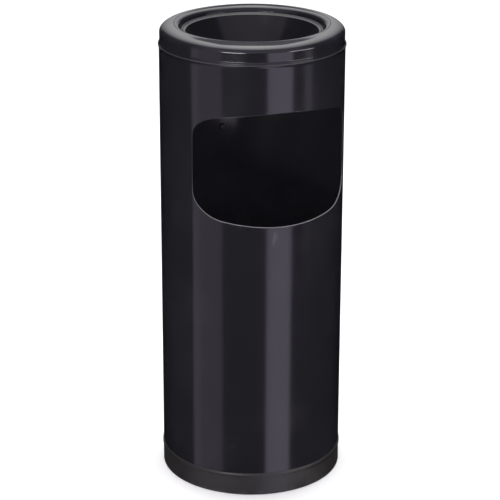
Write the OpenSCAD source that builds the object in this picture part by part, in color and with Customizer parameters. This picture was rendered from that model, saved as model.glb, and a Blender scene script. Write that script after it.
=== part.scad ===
// Round litter bin with a lift-off ash head and a galvanised liner inside.
// Millimetres. Origin: centre of the bottom, on the floor. +Z up, the throw-in opening faces -Y.

/* [Body] */
// Outside diameter of the body tube
body_d = 250; // [205:1:320]
// Height of the whole bin, floor to the crest of the head
total_h = 638; // [520:1:800]
// Thickness of the body's sheet
body_t = 1; // [0.8:0.1:1.4]
// How far the stop bead under the head stands proud
bead_out = 1.2; // [0.8:0.1:1.6]
// Height over which the wall swells out to the stop bead
bead_h = 3; // [2:0.5:5]
// How far the neck above the bead steps in
neck_step = 2.8; // [2.4:0.1:4]

/* [Opening] */
// Angle of the tube that the opening takes up
opening_span = 116.7; // [90:0.5:124]
// Height of the opening, lower edge to upper edge, on its centre line
opening_h = 156.8; // [130:0.2:180]
// Distance from the stop bead down to the upper edge
opening_drop = 63; // [50:1:80]
// Radius that the upper and lower edges arch outwards with
opening_arch_r = 410; // [350:10:800]
// Radius of the upper corners
upper_corner_r = 28; // [15:1:32]
// Radius of the lower corners
lower_corner_r = 37; // [15:1:38]

/* [Base] */
// Height of the plastic base ring, floor to the top of its lip
ring_h = 32.5; // [26:0.5:40]
// How far the ring's wall stands proud of the body
ring_out = 0.2; // [0.1:0.1:0.6]
// How far the ring's lip stands proud of the body
lip_out = 1.1; // [0.9:0.1:1.6]
// Height of the lip
lip_h = 6.5; // [5:0.5:9]
// Wall thickness of the base ring
ring_t = 3; // [2:0.5:4]
// Height of the base plate's top face
plate_z = 44; // [42:1:60]
// Distance from the base plate's edge in to its pressed rib
rib_in = 50; // [40:1:60]
// Height of the pressed rib
rib_h = 3; // [2:0.5:4]
// Radius of the drain holes in the base plate
drain_r = 4; // [3:0.5:6]
// Radius of the circle that the drain holes stand on
drain_ring_r = 38; // [20:1:42]

/* [Head] */
// Thickness of the head's sheet
head_t = 1; // [0.8:0.1:1.4]
// How far the head's skirt is set in from the outside of the body
skirt_in = 0.8; // [0.3:0.1:1.2]
// Height of the straight skirt
skirt_h = 14; // [10:0.5:20]
// How far the skirt's lower edge is turned out
hem_out = 0.9; // [0.4:0.1:1.2]
// Width of the shoulder, skirt to crest
shoulder_w = 19; // [14:0.5:24]
// Rise of the shoulder, skirt to crest
shoulder_rise = 11.4; // [8:0.2:14]
// Width of the slope inside the crest
inner_slope_w = 9.5; // [7:0.5:12]
// Fall of the slope inside the crest
inner_slope_fall = 9; // [7:0.5:11]

/* [Ash bowl] */
// Depth of the bowl below its rim
bowl_depth = 46; // [30:1:60]
// Slope of the bowl's wall
bowl_wall_a = 55; // [50:1:75]
// Width of the flat flange inside the rolled rim
bowl_flange_w = 2; // [1:1:8]
// Thickness of the bowl's sheet
bowl_t = 1; // [0.8:0.1:1.2]
// Radius of the bowl's rolled rim
bowl_bead_r = 1.4; // [1.2:0.1:2]

/* [Liner] */
// Radial room around the liner's rim as it is lifted out
liner_room = 2.5; // [1.5:0.5:8]
// Thickness of the liner's sheet
liner_t = 0.8; // [0.6:0.1:1]
// Distance from the opening's lower edge down to the liner's rim
liner_drop = 100; // [60:1:120]
// Radius of the steel wire in the liner's rim
rim_wire_r = 2; // [1.5:0.1:2.5]
// Height of the liner's floor above its foot
liner_floor_h = 8; // [6:0.5:14]

/* [Bail] */
// Radius of the bail's wire
bail_wire_r = 2; // [1.5:0.1:2.5]
// Width of the ears
ear_w = 20; // [16:1:24]
// Thickness of the ears
ear_t = 1.5; // [1.2:0.1:2]
// Length of the ears below the bail's axis
ear_drop = 42; // [36:1:50]
// Distance between the two rivets of an ear
rivet_pitch = 16; // [14:1:20]
// Radius of the rivets' shanks
rivet_r = 2; // [1.5:0.1:2.5]

/* [Wall fixing] */
// Height of the wall-fixing nut above the floor
nut_z = 458; // [330:1:480]
// Thread's core radius in the nut
nut_bore_r = 2.1; // [1.6:0.1:2.5]
// Radius of the nut's body, inside the wall
nut_r = 5; // [4.5:0.5:7]
// How far the nut stands in from the wall
nut_l = 4; // [3:0.5:6]
// Radius of the nut's neck, in the hole of the wall
nut_neck_r = 3.5; // [3:0.1:4]

/* [Hidden] */
$fn = 180;

move_gap = 0.3;      // room between pieces that move past each other
weld_gap = 0.02;     // room between pieces fixed to each other along a curve
run_gap = 0.06;      // radial clearance of the bail's wire in its ears
cut = 1;             // how far a cut runs past the faces it goes through
arc_n = 10;          // steps of an arc in a profile
wire_fn = 32;        // steps around a wire

// Body
body_r = body_d / 2;
inside_r = body_r - body_t;
tube_seat = 10.5;                            // how deep the tube's edge sits in the ring's groove
foot_z = ring_h - tube_seat;
shoulder_z = total_h - shoulder_rise;        // where the head's skirt turns into its shoulder
skirt_z = shoulder_z - skirt_h;              // lower edge of the head's skirt
bend = 0.6;                                  // inside radius of the sheet's sharp bends
bead_z = skirt_z - 2 * move_gap - bend - body_t; // crest of the stop bead
neck_r = body_r - neck_step;                 // outside of the neck
head_r = body_r - skirt_in;                  // outside of the head's skirt
neck_top_z = shoulder_z - move_gap;

// Opening
opening_half = body_r * sin(opening_span / 2);
opening_top_z = bead_z - opening_drop;
opening_bottom_z = opening_top_z - opening_h;

// Head
crest_r = head_r - shoulder_w;
slope_end_r = crest_r - inner_slope_w;       // inside of the head, where the bowl's rim sits
ledge_drop = 2.5;                            // the ledge's fall below the slope's end
ledge_z = total_h - inner_slope_fall - ledge_drop;
hem_h = 3;                                   // height over which the skirt's edge turns out

// Ash bowl
bowl_bead_c = slope_end_r - move_gap - bowl_bead_r;
bowl_bead_z = ledge_z + move_gap + bowl_bead_r;
bowl_r = bowl_bead_c - bowl_bead_r;          // inside of the bowl at its rim
bowl_shoulder_r = 2.5;                        // bend from the flange into the wall
bowl_shoulder_c = bowl_r - bowl_flange_w;
bowl_shoulder_z = bowl_bead_z - bowl_shoulder_r;
bowl_bend_r = 10;                             // bend from the wall into the floor
bowl_bend_z = bowl_bead_z - bowl_depth + bowl_bend_r;
bowl_wall_h = bowl_depth - (bowl_shoulder_r + bowl_bend_r) * (1 - cos(bowl_wall_a));
bowl_bend_c = bowl_shoulder_c - (bowl_shoulder_r + bowl_bend_r) * sin(bowl_wall_a)
    - bowl_wall_h / tan(bowl_wall_a);         // where the floor's flat ends
ledge_r = bowl_r + move_gap;                 // hole that the bowl hangs through
ledge_lip_h = 5;

// Base
plate_flange_r = inside_r - weld_gap;
groove_in_r = plate_flange_r - body_t - weld_gap;   // inside of the groove for tube and flange
spigot_top_z = plate_z - 6;                  // the ring's spigot ends under the plate
foot_w = 9;                                  // width of the ring's foot
foot_t = 3;
edge_r = 1.2;                                // rounded outer edge of the foot
rib_r = inside_r - rib_in;
drain_n = 3;
drain_turn = 30;                             // angle of the first drain hole

// Liner
way_out_r = min(neck_r - body_t, inside_r - nut_l);  // free way up past the nut and the neck
curl_r = rim_wire_r + liner_t;
curl_c = way_out_r - liner_room - curl_r;    // radius of the rim wire's centre line
liner_r = curl_c - curl_r + liner_t;         // outside of the liner's wall
liner_foot_z = plate_z + move_gap;
liner_top_z = opening_bottom_z - liner_drop;
curl_z = liner_top_z - curl_r;

// Bail
bail_z = liner_top_z + move_gap + bail_wire_r;
ear_out_x = sqrt(pow(liner_r - liner_t, 2) - pow(ear_w / 2, 2)) - weld_gap;
ear_in_x = ear_out_x - ear_t;
ear_top = 3.5 + bail_wire_r;                 // radius of the ear's rounded top
ear_taper = 6;                               // height over which an ear narrows
ear_bottom_z = bail_z - ear_drop;
ear_shoulder_z = bail_z - ear_top - ear_taper;
rivet_edge = 8;                              // from the ear's lower edge to the lower rivet
rivet_z = ear_bottom_z + rivet_edge;
rivet_head_r = 1.8 * rivet_r;
rivet_head_h = 0.8 * rivet_r;
upset_r = 1.5 * bail_wire_r;                 // buttons that keep the wire in its ears
upset_l = 2;
upset_play = 3;                              // from an ear to the button behind it

// Wall fixing
nut_in_y = inside_r - nut_l;                 // closed end of the nut
nut_seat_y = sqrt(pow(inside_r, 2) - pow(nut_r, 2)) - weld_gap;  // face against the curved wall
nut_cap = 1;                                 // thickness of the closed end
nut_round = 1.5;                             // radius of the closed end's edge

// Points of an arc in a profile, ends included
function arc(cx, cz, r, from, to, n = arc_n) =
    [for (i = [0 : n]) let (a = from + (to - from) * i / n) [cx + r * cos(a), cz + r * sin(a)]];

// Points along an ellipse
function quarter(cx, cz, rx, rz, from, to, n = 16) =
    [for (i = [0 : n]) let (a = from + (to - from) * i / n) [cx + rx * cos(a), cz + rz * sin(a)]];

function flip(points) = [for (i = [len(points) - 1 : -1 : 0]) points[i]];

// Smooth change of radius from r0 at z0 to r1 at z1
function ease(r0, r1, z0, z1, n = 8) =
    [for (i = [0 : n]) [r0 + (r1 - r0) * (1 - cos(180 * i / n)) / 2, z0 + (z1 - z0) * i / n]];

// ---- body ----

// One face of the tube's wall, set in by s from the outside: wall, stop bead, neck
function tube_face(s) = concat(
    [[body_r - s, foot_z]],
    ease(body_r - s, body_r + bead_out - s, bead_z - bead_h, bead_z),
    arc(body_r + bead_out - bend - body_t, bead_z, bend + body_t - s, 10, 90, 6),
    arc(neck_r + bend, bead_z + 2 * bend + body_t, bend + s, 270, 180, 6),
    [[neck_r - s, neck_top_z]]);

// Outline of the opening, seen from the front
module opening_outline() {
    top_c = opening_top_z - opening_arch_r;
    bottom_c = opening_bottom_z + opening_arch_r;
    upper_x = opening_half - upper_corner_r;
    lower_x = opening_half - lower_corner_r;
    upper_z = top_c + sqrt(pow(opening_arch_r - upper_corner_r, 2) - pow(upper_x, 2));
    lower_z = bottom_c - sqrt(pow(opening_arch_r - lower_corner_r, 2) - pow(lower_x, 2));
    upper_a = atan2(upper_z - top_c, upper_x);
    lower_a = atan2(bottom_c - lower_z, lower_x);
    polygon(concat(
        arc(0, top_c, opening_arch_r, upper_a, 180 - upper_a, 16),
        arc(-upper_x, upper_z, upper_corner_r, 180 - upper_a, 180),
        arc(-lower_x, lower_z, lower_corner_r, 180, 180 + lower_a),
        arc(0, bottom_c, opening_arch_r, 180 + lower_a, 360 - lower_a, 16),
        arc(lower_x, lower_z, lower_corner_r, 360 - lower_a, 360),
        arc(upper_x, upper_z, upper_corner_r, 0, upper_a)));
}

module body_shell() {
    color([0.07, 0.07, 0.08]) difference() {
        rotate_extrude() polygon(concat(tube_face(0), flip(tube_face(body_t))));
        rotate([90, 0, 0]) linear_extrude(height = body_r + bead_out + cut) opening_outline();
        translate([0, nut_seat_y - cut, nut_z]) rotate([-90, 0, 0])
            cylinder(r = nut_neck_r + weld_gap, h = body_r - nut_seat_y + 2 * cut);
    }
}

// Pressed disc with a flange turned down to its foot
module pressed_disc(r, t, top_z, low_z, bend = 2) {
    rotate_extrude() polygon(concat(
        [[0, top_z - t], [r - t - bend, top_z - t]],
        arc(r - t - bend, top_z - t - bend, bend, 90, 0, 4),
        [[r - t, low_z], [r, low_z]],
        arc(r - t - bend, top_z - t - bend, bend + t, 0, 90, 4),
        [[0, top_z]]));
}

module base_plate() {
    color([0.1, 0.1, 0.11]) difference() {
        union() {
            pressed_disc(plate_flange_r, body_t, plate_z, foot_z);
            rotate_extrude() translate([rib_r, plate_z - body_t])
                polygon(concat(arc(0, 0, rib_h + body_t, 0, 180), [[0, 0]]));
        }
        rotate_extrude() translate([rib_r, plate_z - body_t])
            polygon(concat(arc(0, -0.01, rib_h, 0, 180), [[0, -0.01]]));
        for (i = [0 : drain_n - 1]) rotate(360 * i / drain_n + drain_turn)
            translate([drain_ring_r, 0, plate_z - body_t - cut]) cylinder(r = drain_r, h = body_t + 2 * cut);
    }
}

module base_ring() {
    wall_r = body_r + ring_out;
    spigot_r = groove_in_r - ring_t;
    wall_in_r = wall_r - ring_t;
    web_z = foot_z - ring_t;
    color([0.16, 0.155, 0.15]) rotate_extrude() polygon(concat(
        [[wall_in_r - foot_w, 0], [wall_r - edge_r, 0]],
        arc(wall_r - edge_r, edge_r, edge_r, -90, 0, 5),
        quarter(wall_r, ring_h - lip_h / 2, lip_out - ring_out, lip_h / 2, -90, 90),
        [[body_r + weld_gap, ring_h], [body_r + weld_gap, foot_z], [groove_in_r, foot_z],
         [groove_in_r, spigot_top_z], [spigot_r, spigot_top_z], [spigot_r, web_z],
         [wall_in_r, web_z], [wall_in_r, foot_t], [wall_in_r - foot_w, foot_t]]));
}

module wall_fixing_nut() {
    color([0.09, 0.09, 0.1]) translate([0, 0, nut_z]) rotate([-90, 0, 0]) difference() {
        rotate_extrude() polygon(concat(
            [[0, nut_in_y]],
            arc(nut_r - nut_round, nut_in_y + nut_round, nut_round, -90, 0, 5),
            [[nut_r, nut_seat_y], [nut_neck_r, nut_seat_y], [nut_neck_r, body_r], [0, body_r]]));
        translate([0, 0, nut_in_y + nut_cap]) cylinder(r = nut_bore_r, h = nut_l + body_t);
    }
}

// ---- head ----

// One face of the head's sheet, set in by s from the outside
function head_face(s) = concat(
    ease(head_r + hem_out - s, head_r - s, skirt_z, skirt_z + hem_h),
    quarter(crest_r, shoulder_z, shoulder_w - s, shoulder_rise - s, 0, 90),
    quarter(crest_r, total_h - inner_slope_fall, inner_slope_w - s, inner_slope_fall - s, 90, 180));

module head_ring() {
    inner_z = total_h - inner_slope_fall;
    ledge_under = ledge_z - head_t;
    color([0.07, 0.07, 0.08]) rotate_extrude() polygon(concat(
        head_face(0),
        [[slope_end_r, ledge_z], [ledge_r + head_t, ledge_z], [ledge_r, ledge_z - head_t],
         [ledge_r, ledge_z - ledge_lip_h], [ledge_r + head_t, ledge_z - ledge_lip_h],
         [ledge_r + head_t, ledge_under], [slope_end_r + head_t, ledge_under]],
        flip(head_face(head_t))));
}

module ash_bowl() {
    up_a = bowl_wall_a - 90;
    over_a = bowl_wall_a + 90;
    color([0.07, 0.07, 0.08]) union() {
        rotate_extrude() translate([bowl_bead_c, bowl_bead_z]) circle(r = bowl_bead_r, $fn = wire_fn);
        rotate_extrude() polygon(concat(
            [[0, bowl_bend_z - bowl_bend_r]],
            arc(bowl_bend_c, bowl_bend_z, bowl_bend_r, -90, up_a, 8),
            arc(bowl_shoulder_c, bowl_shoulder_z, bowl_shoulder_r, over_a, 90, 8),
            [[bowl_bead_c, bowl_bead_z], [bowl_bead_c, bowl_bead_z - bowl_t]],
            arc(bowl_shoulder_c, bowl_shoulder_z, bowl_shoulder_r - bowl_t, 90, over_a, 8),
            arc(bowl_bend_c, bowl_bend_z, bowl_bend_r + bowl_t, up_a, -90, 8),
            [[0, bowl_bend_z - bowl_bend_r - bowl_t]]));
    }
}

// ---- liner ----

module liner_wall() {
    color([0.72, 0.74, 0.76]) difference() {
        union() {
            translate([0, 0, liner_foot_z]) difference() {
                cylinder(r = liner_r, h = curl_z - liner_foot_z);
                translate([0, 0, -cut])
                    cylinder(r = liner_r - liner_t, h = curl_z - liner_foot_z + 2 * cut);
            }
            rotate_extrude() translate([curl_c, curl_z]) circle(r = curl_r, $fn = wire_fn);
        }
        rotate_extrude() translate([curl_c, curl_z]) circle(r = rim_wire_r, $fn = wire_fn);
        rivet_shanks(rivet_r + weld_gap);
    }
}

module liner_floor() {
    color([0.72, 0.74, 0.76])
        pressed_disc(liner_r - liner_t - weld_gap, liner_t, liner_foot_z + liner_floor_h, liner_foot_z);
}

module liner_rim_wire() {
    color([0.6, 0.61, 0.63]) rotate_extrude() translate([curl_c, curl_z])
        circle(r = rim_wire_r - weld_gap, $fn = wire_fn);
}

// The four rivets' shanks, along X through ears and wall
module rivet_shanks(r) {
    for (side = [0, 180]) rotate(side)
        for (i = [0, 1]) translate([ear_in_x - cut, 0, rivet_z + i * rivet_pitch]) rotate([0, 90, 0])
            cylinder(r = r, h = liner_r - ear_in_x + 2 * cut);
}

module bail_ear() {
    color([0.62, 0.64, 0.66]) difference() {
        translate([ear_in_x, 0, 0]) rotate([90, 0, 90]) linear_extrude(height = ear_t) union() {
            translate([-ear_w / 2, ear_bottom_z]) square([ear_w, ear_shoulder_z - ear_bottom_z]);
            polygon([[-ear_w / 2, ear_shoulder_z], [ear_w / 2, ear_shoulder_z],
                     [ear_top, bail_z], [-ear_top, bail_z]]);
            translate([0, bail_z]) circle(r = ear_top);
        }
        translate([ear_in_x - cut, 0, bail_z]) rotate([0, 90, 0])
            cylinder(r = bail_wire_r + run_gap, h = ear_t + 2 * cut);
        rivet_shanks(rivet_r + weld_gap);
    }
}

module left_bail_ear() { rotate(180) bail_ear(); }

module right_bail_ear() { bail_ear(); }

module ear_rivets() {
    color([0.8, 0.81, 0.82]) for (side = [0, 180]) rotate(side) for (i = [0, 1])
        translate([0, 0, rivet_z + i * rivet_pitch]) rotate([0, 90, 0]) union() {
            translate([0, 0, ear_in_x - rivet_head_h]) cylinder(r = rivet_head_r, h = rivet_head_h);
            translate([0, 0, ear_in_x - rivet_head_h])
                cylinder(r = rivet_r, h = liner_r - ear_in_x + 2 * rivet_head_h);
            translate([0, 0, liner_r]) cylinder(r = rivet_head_r, h = rivet_head_h);
        }
}

module bail() {
    end_x = ear_in_x - upset_play - upset_l;
    color([0.62, 0.64, 0.66]) union() {
        translate([0, 0, bail_z]) rotate_extrude(angle = 180) translate([curl_c, 0])
            circle(r = bail_wire_r, $fn = wire_fn);
        for (side = [0, 180]) translate([0, 0, bail_z]) rotate(side) {
            translate([curl_c, 0, 0]) sphere(r = bail_wire_r, $fn = wire_fn);
            translate([end_x, 0, 0]) rotate([0, 90, 0]) cylinder(r = bail_wire_r, h = curl_c - end_x);
            translate([end_x, 0, 0]) rotate([0, 90, 0]) cylinder(r = upset_r, h = upset_l);
        }
    }
}

body_shell();
base_plate();
base_ring();
wall_fixing_nut();
head_ring();
ash_bowl();
liner_wall();
liner_floor();
liner_rim_wire();
left_bail_ear();
right_bail_ear();
ear_rivets();
bail();
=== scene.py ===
import math

import bmesh
import bpy
from mathutils import Matrix, Vector


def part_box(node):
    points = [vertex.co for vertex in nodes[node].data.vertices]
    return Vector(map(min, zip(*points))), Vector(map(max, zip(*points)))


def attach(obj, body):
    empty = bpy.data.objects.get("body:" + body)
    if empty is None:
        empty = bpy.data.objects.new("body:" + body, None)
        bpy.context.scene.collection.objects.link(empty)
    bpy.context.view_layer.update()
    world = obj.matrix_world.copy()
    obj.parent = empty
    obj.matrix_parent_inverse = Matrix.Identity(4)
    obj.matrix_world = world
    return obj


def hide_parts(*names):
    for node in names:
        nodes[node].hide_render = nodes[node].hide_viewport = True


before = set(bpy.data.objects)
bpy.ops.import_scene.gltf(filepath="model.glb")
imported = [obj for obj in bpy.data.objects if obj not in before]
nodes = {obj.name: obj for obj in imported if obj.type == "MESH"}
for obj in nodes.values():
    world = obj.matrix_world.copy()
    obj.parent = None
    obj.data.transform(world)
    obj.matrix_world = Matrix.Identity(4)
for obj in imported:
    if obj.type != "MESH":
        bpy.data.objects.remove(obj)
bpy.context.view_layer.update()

MM = 0.001


# ---- Base ring ----
# The bin stands on a ring moulded from black plastic. The edge of the steel tube sits in a groove
# round its top, behind a thin lip, and the ring's foot spreads the weight over the floor.

class Value:
    """What a node puts out. A sum or product of values adds the Math nodes that work it out."""

    def __init__(self, finish, socket):
        self.finish = finish
        self.socket = socket

    def maths(self, operation, first, second):
        return self.finish.node("Math", {"operation": operation}, {0: first, 1: second})

    def __add__(self, other):
        return self.maths("ADD", self, other)

    def __radd__(self, other):
        return self.maths("ADD", other, self)

    def __sub__(self, other):
        return self.maths("SUBTRACT", self, other)

    def __rsub__(self, other):
        return self.maths("SUBTRACT", other, self)

    def __mul__(self, other):
        return self.maths("MULTIPLY", self, other)

    def __rmul__(self, other):
        return self.maths("MULTIPLY", other, self)

    def __pow__(self, other):
        return self.maths("POWER", self, other)


class Graph:
    """A node tree that is written as expressions."""

    def __init__(self, tree):
        self.tree = tree

    def node(self, kind, settings, values, output=0):
        node = self.tree.nodes.new("ShaderNode" + kind)
        for name, setting in settings.items():
            setattr(node, name, setting)
        for name, value in values.items():
            self.feed(node.inputs[name], value)
        return Value(self, node.outputs[output])

    def feed(self, socket, value):
        if isinstance(value, Value):
            self.tree.links.new(value.socket, socket)
        else:
            socket.default_value = value

    def mask(self, value, low, high):
        """0 up to low and 1 from high, with a soft step between."""
        limits = {"Value": value, "From Min": low, "From Max": high}
        return self.node("MapRange", {"interpolation_type": "SMOOTHSTEP"}, limits)

    def mix(self, share, first, second):
        """Two colours, (r, g, b, 1) or Value, mixed by share."""
        return self.node("Mix", {"data_type": "RGBA"}, {0: share, 6: first, 7: second}, 2)


class Finish(Graph):
    """A finish of the bin, on one Principled shader. What is the same all over is set on its sockets."""

    def __init__(self, name, **everywhere):
        self.material = bpy.data.materials.new(name)
        self.material.use_nodes = True
        super().__init__(self.material.node_tree)
        self.shader = self.tree.nodes["Principled BSDF"]
        for socket, value in everywhere.items():
            self.shader.inputs[socket.replace("_", " ")].default_value = value
        self.place = self.node("TexCoord", {}, {}, "Object")

    def noise(self, per_metre, detail=2, stretch=(1, 1, 1), output="Fac"):
        """Cloudy noise with that many cells to the metre, drawn out along the axes by stretch."""
        place = self.node("Mapping", {}, {"Vector": self.place, "Scale": stretch})
        return self.node("TexNoise", {}, {"Vector": place, "Scale": per_metre, "Detail": detail}, output)

    def relief(self, value, metres, under=None):
        """The surface's normal with value as a relief that many metres deep, laid over another one."""
        values = {"Height": value, "Distance": metres, "Strength": 1.0}
        if under is not None:
            values["Normal"] = under
        return self.node("Bump", {}, values)

    def wear(self, **sockets):
        """Feeds the shader's sockets with what changes over the surface."""
        for socket, value in sockets.items():
            self.feed(self.shader.inputs[socket.replace("_", " ")], value)


def coat(finish, *names):
    """Gives carried-over CAD nodes their finish."""
    for name in names:
        for slot in nodes[name].material_slots:
            slot.material = finish.material


ring_grey = (0.021, 0.0197, 0.019, 1)
ring_scuff = (0.085, 0.080, 0.074, 1)
ring_grain = 1400
ring_scuff_h = 7 * MM

moulded = Finish("moulded_ring_plastic", IOR=1.48)
up_the_ring = moulded.node("SeparateXYZ", {}, {"Vector": moulded.place}, "Z")
low_down = 1 - moulded.mask(up_the_ring, 0.5 * MM, ring_scuff_h)
scuffs = moulded.mask(moulded.noise(90, 6, (1, 1, 3)), 0.50, 0.72) * low_down
dust = moulded.mask(moulded.noise(24, 5), 0.45, 0.75)
moulded.wear(
    Base_Color=moulded.mix(scuffs * 0.8 + dust * 0.12, ring_grey, ring_scuff),
    Roughness=0.42 + scuffs * 0.25 + dust * 0.10,
    Normal=moulded.relief(moulded.noise(ring_grain, 3), 0.05 * MM))
coat(moulded, "base_ring")


# ---- Base plate ----
# A disc pressed from steel sheet, with a stiffening rib, three drain holes and a flange that is
# spot-welded inside the foot of the tube. It is coated satin black with the rest.

plate_black = (0.012, 0.012, 0.013, 1)
plate_dust = (0.060, 0.055, 0.048, 1)

satin = Finish("satin_base_paint", IOR=1.5)
dirt = satin.mask(satin.noise(35, 6), 0.42, 0.70)
satin.wear(
    Base_Color=satin.mix(dirt * 0.5, plate_black, plate_dust),
    Roughness=0.38 + dirt * 0.30,
    Normal=satin.relief(satin.noise(500, 2), 0.02 * MM))
coat(satin, "base_plate")


# ---- Body tube ----
# Steel sheet 1 mm thick, rolled and welded into a tube, with the throw-in opening cut out of its
# front and a stop bead rolled in under the neck. Powder coated gloss black inside and out, so the
# coat stands thick and round along the cut edge, and the weld shows as a low line down the back.

paint_black = (0.0110, 0.0106, 0.0136, 1)
paint_film = (0.0178, 0.0170, 0.0208, 1)


def tint(colour, share):
    """A colour made darker or lighter."""
    return tuple(share * part for part in colour[:3]) + (1,)


def gloss_paint(name, roughness, painted_shade=1, dust_and_highlight=None):
    """Gloss black powder coat: a fine orange peel over slow waves in the sheet, dulled by wiping.
    painted_shade darkens its colour as painted shade. dust_and_highlight works out, from the finish, how
    far the colour changes, to which colour, and how dull it is there: ash dust on the bowl, a painted
    highlight on the opening's edge."""
    paint = Finish(name, IOR=1.5)
    film = paint.mask(paint.noise(14, 5), 0.45, 0.70)
    wiped = paint.mask(paint.noise(150, 4, (1, 1, 0.15)), 0.50, 0.80)
    waves = paint.relief(paint.noise(11, 1, (1, 1, 0.4)), 0.035 * MM)
    colour = paint.mix(film * 0.5, tint(paint_black, painted_shade), tint(paint_film, painted_shade))
    dull = roughness + film * 0.03 + wiped * 0.03
    # This mixes in ash dust on the bowl and a painted highlight on the opening's edge.
    if dust_and_highlight:
        share, dust_and_highlight_colour, dust_and_highlight_dull = dust_and_highlight(paint)
        colour = paint.mix(share, colour, dust_and_highlight_colour)
        dull = dull + share * dust_and_highlight_dull
    paint.wear(
        Base_Color=colour,
        Roughness=dull,
        Normal=paint.relief(paint.noise(420, 2), 0.008 * MM, waves))
    return paint


def arc(centre_r, centre_z, radius, start, end, steps, radius_z=None):
    """Points along an arc in a profile, from one angle in degrees to another."""
    turns = [math.radians(start + (end - start) * i / steps) for i in range(steps + 1)]
    tall = radius if radius_z is None else radius_z
    return [(centre_r + radius * math.cos(a), centre_z + tall * math.sin(a)) for a in turns]


def piece(name, points, faces, finish, body, crease=35):
    """A new piece of the bin, smooth but for its creases, which rides on a body."""
    mesh = bpy.data.meshes.new(name)
    mesh.from_pydata(points, [], faces)
    bm = bmesh.new()
    bm.from_mesh(mesh)
    bmesh.ops.remove_doubles(bm, verts=bm.verts, dist=0.001 * MM)
    bmesh.ops.recalc_face_normals(bm, faces=bm.faces)
    bm.to_mesh(mesh)
    bm.free()
    mesh.shade_smooth()
    mesh.set_sharp_from_angle(angle=math.radians(crease))
    mesh.materials.append(finish.material)
    made = bpy.data.objects.new(name, mesh)
    bpy.context.scene.collection.objects.link(made)
    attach(made, body)
    return made


def rows_of_faces(rows, per_row):
    """Quads between closed rings of points that follow one another and close on the first."""
    return [(i * per_row + j, i * per_row + (j + 1) % per_row,
             (i + 1) % rows * per_row + (j + 1) % per_row, (i + 1) % rows * per_row + j)
            for i in range(rows) for j in range(per_row)]


body_paint = gloss_paint("gloss_black_coat", 0.15)
coat(body_paint, "body_shell", "wall_fixing_nut")

shell_low, shell_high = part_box("body_shell")
sheet = 1 * MM
bead_out = 1.2 * MM
tube_r = shell_high[0] - bead_out
bead_z = 610.4 * MM
opening_span = 116.7
opening_drop = 63 * MM
opening_h = 156.8 * MM
opening_half = tube_r * math.sin(math.radians(opening_span / 2))
opening_top = bead_z - opening_drop
opening_low = opening_top - opening_h
arch = 410 * MM
upper_corner = 28 * MM
lower_corner = 37 * MM
corner_steps = 20
arch_steps = 30
side_steps = 30


def opening_quarter(edge_z, corner, upwards):
    """The right half of the upper or lower edge: from the side, round the corner, to the middle."""
    corner_x = opening_half - corner
    arch_z = edge_z - upwards * arch
    corner_z = arch_z + upwards * math.sqrt((arch - corner) ** 2 - corner_x ** 2)
    meet = upwards * math.degrees(math.atan2(abs(corner_z - arch_z), corner_x))
    return (arc(corner_x, corner_z, corner, 0, meet, corner_steps)
            + arc(0, arch_z, arch, meet, upwards * 90, arch_steps)[1:])


def straight(start, end, steps):
    """Points between two points, without either of them."""
    return [(start[0] + (end[0] - start[0]) * i / steps, start[1] + (end[1] - start[1]) * i / steps)
            for i in range(1, steps)]


upper = opening_quarter(opening_top, upper_corner, 1)
lower = opening_quarter(opening_low, lower_corner, -1)
right_side = lower[::-1] + straight(lower[0], upper[0], side_steps) + upper
outline = right_side[:-1] + [(-x, z) for x, z in right_side[:0:-1]]

edge_round = 0.9 * MM
edge_proud = 0.3 * MM
edge_inner = 0.25
edge_steps = 10
all_smooth = 80
edge_points = []
for i, (x, z) in enumerate(outline):
    before, after = outline[i - 1], outline[(i + 1) % len(outline)]
    along = Vector((after[0] - before[0], 0, after[1] - before[1])).normalized()
    inwards = Vector((-along.z, 0, along.x))
    outer = Vector((x, -math.sqrt(tube_r ** 2 - x ** 2), z))
    inner = Vector((x, -math.sqrt((tube_r - sheet) ** 2 - x ** 2), z))
    middle = (outer + inner) / 2
    half = (outer - inner) / 2
    half += half.normalized() * edge_proud
    for j in range(edge_steps):
        a = math.tau * j / edge_steps
        lift = edge_round * math.sin(a) * (1 if math.sin(a) > 0 else edge_inner)
        edge_points.append(middle + math.cos(a) * half + lift * inwards)

# Pale grey painted onto the opening's edge as a painted highlight.
edge_highlight_grey = (0.125, 0.122, 0.130, 1)
sill_highlight_share = 0.8
sides_highlight_share = 0.2


def painted_edge_highlight(paint):
    """Painted highlight along the cut edge: pale grey, most on the sill, less up the sides, not over the
    top.
    """
    height = paint.node("SeparateXYZ", {}, {"Vector": paint.place}, "Z")
    up_opening = (height - opening_low) * (1 / opening_h)
    on_sill = 1 - paint.mask(up_opening, 0.12, 0.45)
    on_sides = 1 - paint.mask(up_opening, 0.78, 0.95)
    return on_sill * sill_highlight_share + on_sides * sides_highlight_share, edge_highlight_grey, 0


# The opening's edge carries a painted highlight: pale grey on the sill and lower sides.
edge_paint = gloss_paint("gloss_black_edge", 0.15, dust_and_highlight=painted_edge_highlight)
edge_faces = rows_of_faces(len(outline), edge_steps)
piece("opening_edge", edge_points, edge_faces, edge_paint, "body", all_smooth)

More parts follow.
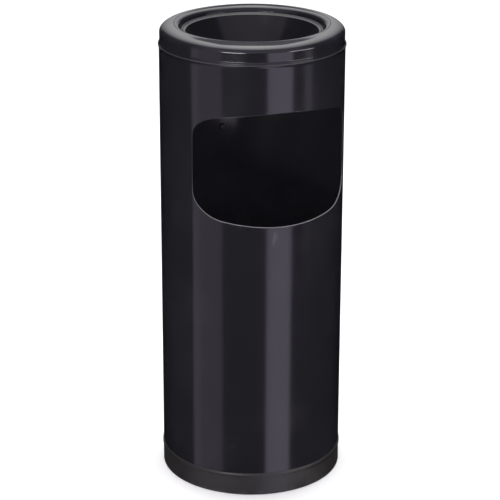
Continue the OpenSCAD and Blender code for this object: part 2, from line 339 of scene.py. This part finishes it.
weld_turn = math.radians(118)
weld_half = 1.3 * MM
weld_proud = 0.16 * MM
weld_sunk = 0.02 * MM
weld_root = 0.3 * MM
weld_low = shell_low[2] + 12 * MM
weld_high = bead_z - 4 * MM
weld_across = 6
weld_rows = 240
weld_ripple = 0.25
ripple_step = 1.9
weld_points = []
for i in range(weld_rows + 1):
    z = weld_low + (weld_high - weld_low) * i / weld_rows
    ripple = 1 + weld_ripple * math.sin(i * ripple_step)
    section = []
    for j in range(weld_across + 1):
        side = 2 * j / weld_across - 1
        section.append((side, weld_proud * ripple * (1 - side ** 2) - weld_sunk))
    section += [(1, -weld_root), (-1, -weld_root)]
    for side, rise in section:
        a = weld_turn + side * weld_half / tube_r
        weld_points.append(((tube_r + rise) * math.cos(a), (tube_r + rise) * math.sin(a), z))

# Its rows don't close on the first, so those faces are left out and the two ends are capped.
per_row = weld_across + 3
weld_faces = [f for f in rows_of_faces(weld_rows + 1, per_row) if max(f) - min(f) < 3 * per_row]
weld_faces += [tuple(range(per_row)), tuple(range(weld_rows * per_row, (weld_rows + 1) * per_row))]
piece("tube_weld", weld_points, weld_faces, body_paint, "body", all_smooth)


# ---- Liner ----
# The inner bucket: galvanised sheet rolled into a tube and seamed, a floor pressed in, and a rim
# curled round a steel wire. Two riveted ears carry the bail.

zinc_dark = (0.30, 0.315, 0.335, 1)
zinc_light = (0.56, 0.575, 0.595, 1)
zinc_stain = (0.20, 0.19, 0.17, 1)
spangle_per_metre = 95
spangle_warp = 0.012

galvanised = Finish("galvanised_spangle", Metallic=1.0)
warped = galvanised.node("Mix", {"data_type": "VECTOR"}, {
    0: spangle_warp, 4: galvanised.place, 5: galvanised.noise(60, 2, output="Color")}, 1)
spangle = galvanised.node("TexVoronoi", {"feature": "F1"}, {
    "Vector": warped, "Scale": spangle_per_metre}, "Color")
tone = galvanised.node("SeparateXYZ", {}, {"Vector": spangle}, "X")
stain = galvanised.mask(galvanised.noise(18, 6, (1, 1, 0.4)), 0.52, 0.74)
metal = galvanised.mix(tone, zinc_dark, zinc_light)
galvanised.wear(
    Base_Color=galvanised.mix(stain * 0.5, metal, zinc_stain),
    Roughness=0.30 + tone * 0.16 + stain * 0.2,
    Normal=galvanised.relief(galvanised.noise(700, 3), 0.01 * MM))
coat(galvanised, "liner_wall", "liner_floor", "left_bail_ear", "right_bail_ear")

wire_bright = (0.50, 0.51, 0.53, 1)
wire_dull = (0.33, 0.33, 0.33, 1)

drawn = Finish("galvanised_wire", Metallic=1.0)
dull = drawn.mask(drawn.noise(120, 5), 0.40, 0.70)
drawn.wear(
    Base_Color=drawn.mix(dull, wire_bright, wire_dull),
    Roughness=0.28 + dull * 0.22,
    Normal=drawn.relief(drawn.noise(900, 3), 0.012 * MM))
coat(drawn, "liner_rim_wire", "bail")

rivet_bright = (0.68, 0.68, 0.70, 1)
rivet_tarnish = (0.42, 0.41, 0.38, 1)

plated = Finish("zinc_plated_rivet", Metallic=1.0)
tarnish = plated.mask(plated.noise(260, 4), 0.40, 0.70)
plated.wear(
    Base_Color=plated.mix(tarnish, rivet_bright, rivet_tarnish),
    Roughness=0.20 + tarnish * 0.25,
    Normal=plated.relief(plated.noise(1500, 2), 0.006 * MM))
coat(plated, "ear_rivets")


# ---- Head ----
# A ring spun from steel sheet: a skirt that goes over the tube's neck, a broad rolled shoulder, and
# a slope that falls to the ledge that the ash bowl hangs in. Its lower edge is turned out a little.

spun_steps = 288


def spun(name, profile, finish, body):
    """A closed profile of radius and height, spun round the bin's axis."""
    turns = [math.tau * i / spun_steps for i in range(spun_steps)]
    points = [(r * math.cos(a), r * math.sin(a), z) for r, z in profile for a in turns]
    faces = rows_of_faces(len(profile), spun_steps)
    return piece(name, points, faces, finish, body)


def sheet_of(face, thickness):
    """A closed profile of sheet: its seen face, the same face set in, and round edges between."""
    hidden = []
    for i, (r, z) in enumerate(face):
        before, after = face[max(i - 1, 0)], face[min(i + 1, len(face) - 1)]
        along = Vector((after[0] - before[0], after[1] - before[1])).normalized()
        hidden.append((r - along.y * thickness, z + along.x * thickness))
    closed = list(face)
    for near, far, last in ((face[-1], hidden[-1], face[-2]), (hidden[0], face[0], hidden[1])):
        middle = (Vector(near) + Vector(far)) / 2
        outwards = (Vector(near) - Vector(last)).normalized() * thickness / 2
        half = (Vector(near) - Vector(far)) / 2
        if near == hidden[0]:
            closed += hidden[::-1]
        closed += [tuple(middle + math.cos(a) * half + math.sin(a) * outwards)
                   for a in (math.radians(t) for t in (45, 90, 135))]
    return closed


head_paint = gloss_paint("gloss_black_head", 0.12)
head_low, head_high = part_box("head_ring")
hem_out = 0.9 * MM
hem_h = 3 * MM
hem_steps = 12
head_r = head_high[0] - hem_out
shoulder_w = 19 * MM
shoulder_rise = 11.4 * MM
slope_w = 9.5 * MM
slope_fall = 9 * MM
ledge_drop = 2.5 * MM
ledge_bend = 1.2 * MM
lip_h = 5 * MM
crest_r = head_r - shoulder_w
slope_end_r = crest_r - slope_w
ledge_z = head_high[2] - slope_fall - ledge_drop
bowl_low, bowl_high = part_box("ash_bowl")
play = 0.3 * MM
bowl_bead_r = 1.4 * MM
bowl_bead_c = bowl_high[0] - bowl_bead_r
bowl_bead_z = bowl_high[2] - bowl_bead_r
ledge_r = bowl_bead_c - bowl_bead_r + play

hem = [(head_r + hem_out * (1 + math.cos(math.pi * i / hem_steps)) / 2, head_low[2] + hem_h * i / hem_steps)
       for i in range(hem_steps + 1)]
head_face = (hem
             + arc(crest_r, head_high[2] - shoulder_rise, shoulder_w, 0, 90, 40, shoulder_rise)
             + arc(crest_r, head_high[2] - slope_fall, slope_w, 90, 180, 30, slope_fall)[1:]
             + arc(slope_end_r - ledge_bend, ledge_z + ledge_bend, ledge_bend, 0, -90, 8)
             + arc(ledge_r + ledge_bend, ledge_z - ledge_bend, ledge_bend, 90, 180, 8)
             + [(ledge_r, ledge_z - lip_h)])
head = spun("spun_head", sheet_of(head_face, sheet), head_paint, "head")
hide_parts("head_ring")


# ---- Ash bowl ----
# A pan pressed from steel sheet with a steep wall, a flat flange and a rolled rim, laid in the
# head's ledge and lifted out by hand to be emptied. Ash has left a faint grey bloom in its floor.

bowl_flange = 2 * MM
bowl_shoulder = 2.5 * MM
bowl_bend = 10 * MM
bowl_slope = 55
roll_start = -100
roll_end = 150
bowl_wall = math.radians(bowl_slope)
bowl_r = bowl_bead_c - bowl_bead_r
floor_z = bowl_low[2] + sheet
shoulder_c = bowl_r - bowl_flange
wall_h = bowl_bead_z - floor_z - (bowl_shoulder + bowl_bend) * (1 - math.cos(bowl_wall))
bend_c = shoulder_c - (bowl_shoulder + bowl_bend) * math.sin(bowl_wall) - wall_h / math.tan(bowl_wall)
roll_back_c = bowl_bead_c - 2 * bowl_bead_r * math.cos(math.radians(180 - roll_end))
floor_shares = (0.75, 0.5, 0.25, 0.002)

# The floor's last ring is next to nothing, as what is spun round the axis can't close on it.
bowl_face = (arc(bowl_bead_c, bowl_bead_z, bowl_bead_r, roll_start, roll_end, 24)
             + arc(roll_back_c, bowl_bead_z + bowl_bead_r, bowl_bead_r, roll_end - 180, -90, 8)[1:]
             + arc(shoulder_c, bowl_bead_z - bowl_shoulder, bowl_shoulder, 90, 90 + bowl_slope, 14)
             + arc(bend_c, floor_z + bowl_bend, bowl_bend, bowl_slope - 90, -90, 14)
             + [(bend_c * share, floor_z) for share in floor_shares])

ash_grey = (0.21, 0.20, 0.19, 1)
ash_start = 0.2 * MM
ash_reach = 8 * MM
ash_share = 0.4
ash_dull = 0.8


def ash_bloom(paint):
    """Blotches of ash dust that thin out from the floor up the wall."""
    up_the_bowl = paint.node("SeparateXYZ", {}, {"Vector": paint.place}, "Z")
    low_down = 1 - paint.mask(up_the_bowl, floor_z + ash_start, floor_z + ash_reach)
    return low_down * paint.mask(paint.noise(40, 7), 0.40, 0.80) * ash_share, ash_grey, ash_dull


# The bowl's gloss black is made darker (0.55) as painted shade for the bowl sunk in the head.
bowl_paint = gloss_paint("gloss_black_bowl", 0.14, 0.55, ash_bloom)
bowl = spun("pressed_ash_bowl", sheet_of(bowl_face, sheet), bowl_paint, "bowl")
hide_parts("ash_bowl")


# ---- Studio ----
# A plain pale floor with a white cove round it, inside a light tent: cloth that glows over and
# behind the bin, and tall strips and two small lamps in front, which the gloss paint mirrors. Two
# soft lights that it doesn't mirror light the floor and the inside of the tube.

view_turn = math.radians(-19.5)
towards = Vector((math.sin(view_turn), -math.cos(view_turn), 0))
rightwards = Vector((math.cos(view_turn), math.sin(view_turn), 0))

camera_out = 2.5679
camera_up = 1.2649
camera_aside = -0.00214
camera_pitch = math.radians(20.304)
camera_roll = math.radians(0.158)
camera_lens = 142.07

camera = bpy.data.objects.new("camera", bpy.data.cameras.new("camera"))
camera.data.lens = camera_lens
camera.data.sensor_width = 36
camera.location = camera_out * towards + camera_aside * rightwards + Vector((0, 0, camera_up))
camera.rotation_euler = (Matrix.Rotation(view_turn, 3, "Z")
                         @ Matrix.Rotation(math.pi / 2 - camera_pitch, 3, "X")
                         @ Matrix.Rotation(camera_roll, 3, "Z")).to_euler()
bpy.context.scene.collection.objects.link(camera)
bpy.context.scene.camera = camera
bpy.context.scene.view_settings.view_transform = "Standard"

floor_half = 9
floor_pale = (0.70, 0.70, 0.70, 1)
floor_paler = (0.72, 0.72, 0.72, 1)
mesh = bpy.data.meshes.new("studio_floor")
corners = [(x * floor_half, y * floor_half, 0) for x, y in ((-1, -1), (1, -1), (1, 1), (-1, 1))]
mesh.from_pydata(corners, [], [(0, 1, 2, 3)])
studio_floor = bpy.data.objects.new("studio_floor", mesh)
studio_floor.visible_glossy = False
bpy.context.scene.collection.objects.link(studio_floor)
pale = Finish("pale_floor", Roughness=0.9, Specular_IOR_Level=0)
pale.wear(Base_Color=pale.mix(pale.noise(3), floor_pale, floor_paler))
mesh.materials.append(pale.material)

cove_r = 8.5
cove_h = 6
cove_sides = 64
mesh = bpy.data.meshes.new("studio_cove")
turns = [math.tau * i / cove_sides for i in range(cove_sides)]
corners = [(cove_r * math.cos(a), cove_r * math.sin(a), z) for z in (0, cove_h) for a in turns]
faces = rows_of_faces(2, cove_sides)[:cove_sides]
mesh.from_pydata(corners, [], faces)
studio_cove = bpy.data.objects.new("studio_cove", mesh)
studio_cove.visible_diffuse = studio_cove.visible_glossy = False
studio_cove.visible_transmission = studio_cove.visible_shadow = False
bpy.context.scene.collection.objects.link(studio_cove)
cove = Finish("pale_cove", Base_Color=(0, 0, 0, 1), Specular_IOR_Level=0, Emission_Color=(1, 1, 1, 1),
              Emission_Strength=1.0)
cove.material.cycles.emission_sampling = "NONE"
mesh.materials.append(cove.material)

# The cloth glows most straight above and fades to its sides, back and front. A dark gap runs up
# the back of it and widens upwards.
tent_glow = 6.0
tent_wide = 0.62
tent_deep = 0.75
tent_back = 0.2
tent_front_steep = 1.2
tent_reach = 1.35
tent_fade = 1.2
gap_dark = 0.12
gap_low = 0.27
gap_spread = 0.6
gap_least = 0.02
gap_most = 0.215

world = bpy.data.worlds.new("light_tent")
world.use_nodes = True
bpy.context.scene.world = world
tent = Graph(world.node_tree)
way = tent.node("VectorRotate", {"rotation_type": "Z_AXIS"}, {
    "Vector": tent.node("TexCoord", {}, {}, "Generated"), "Angle": -view_turn})
right = tent.node("SeparateXYZ", {}, {"Vector": way}, "X")
back = tent.node("SeparateXYZ", {}, {"Vector": way}, "Y")
up = tent.node("SeparateXYZ", {}, {"Vector": way}, "Z")
aside = right.maths("ABSOLUTE", right, 0)
turn = right.maths("ARCTAN2", right, -1 * back) * math.degrees(1)

behind = back - tent_back
either_way = right.maths("MAXIMUM", behind, -tent_front_steep * behind)
from_middle = (right * (1 / tent_wide)) ** 2 + (either_way * (1 / tent_deep)) ** 2
cloth = tent.node("Clamp", {}, {"Value": 1 - from_middle * (1 / tent_reach)}) ** tent_fade
gap_half = tent.node("Clamp", {}, {
    "Value": (up - gap_low) * gap_spread, "Min": gap_least, "Max": gap_most})
in_gap = (1 - tent.mask(aside - gap_half, -0.02, 0.02)) * tent.mask(back, 0.35, 0.45)
in_gap = in_gap * (1 - tent.mask(up, 0.86, 0.96))
glow = tent_glow * cloth * tent.mask(up, -0.02, 0.04) * (1 - (1 - gap_dark) * in_gap)


def between(value, start, end, soft):
    """1 between start and end, 0 outside, with soft ends."""
    return tent.mask(value, start - soft, start + soft) * (1 - tent.mask(value, end - soft, end + soft))


def patch(start, end, low, high, radiance, soft=1.5, soft_up=0.02):
    """A glowing patch between two turns about the bin, in degrees from the side it is viewed from,
    and between two heights, as sines."""
    return between(turn, start, end, soft) * between(up, low, high, soft_up) * radiance


down = -1
skirting = -0.05
left_strip = patch(-80, -37, down, skirting, 0.45) + patch(-80, -70, down, skirting, 0.15)
right_strips = patch(19, 51, down, skirting, 1.32) + patch(67, 79, -0.32, skirting, 0.5)
behind_strip = (tent.mask(turn.maths("ABSOLUTE", turn, 0), 169, 171)
                * (1 - tent.mask(up, skirting - 0.02, skirting + 0.02)) * 0.55)
fill = patch(-80, 80, 0.06, 0.90, 0.27, 3, 0.06) + patch(-60, 60, 0.06, 0.62, 0.25, 8, 0.06)
lamps = patch(-36, -10, -0.09, 0.06, 18) + patch(46, 78, -0.09, 0.07, 8)


def coloured(colour, radiance):
    """Light of a colour."""
    return tent.node("VectorMath", {"operation": "SCALE"}, {0: colour, "Scale": radiance})


white = (1, 1, 1)
violet = (1.02, 0.90, 1.16)
soft_light = coloured(violet, left_strip + right_strips + fill + behind_strip)
bright_light = coloured(white, glow + lamps)
background = world.node_tree.nodes["Background"]
tent.feed(background.inputs["Color"],
          tent.node("VectorMath", {"operation": "ADD"}, {0: soft_light, 1: bright_light}))
background.inputs["Strength"].default_value = 1.0


def soft_lamp(name, place, aim, wide, high, watts):
    """A soft light of wide by high metres that no gloss paint mirrors."""
    light = bpy.data.lights.new(name, "AREA")
    light.shape = "RECTANGLE"
    light.size = wide
    light.size_y = high
    light.energy = watts
    lamp = bpy.data.objects.new(name, light)
    lamp.location = place
    lamp.rotation_euler = (aim - place).to_track_quat("-Z", "Z").to_euler()
    lamp.visible_glossy = False
    lamp.visible_camera = False
    bpy.context.scene.collection.objects.link(lamp)


soft_lamp("key_above", Vector((0, 0, 3)), Vector((0, 0, 0)), 2.4, 2.4, 85)
in_the_tube = 0.07 * towards - 0.05 * rightwards + Vector((0, 0, 0.41))
back_wall = 0.06 * rightwards - 0.11 * towards + Vector((0, 0, 0.39))
soft_lamp("fill_inside", in_the_tube, back_wall, 0.08, 0.20, 0.17)
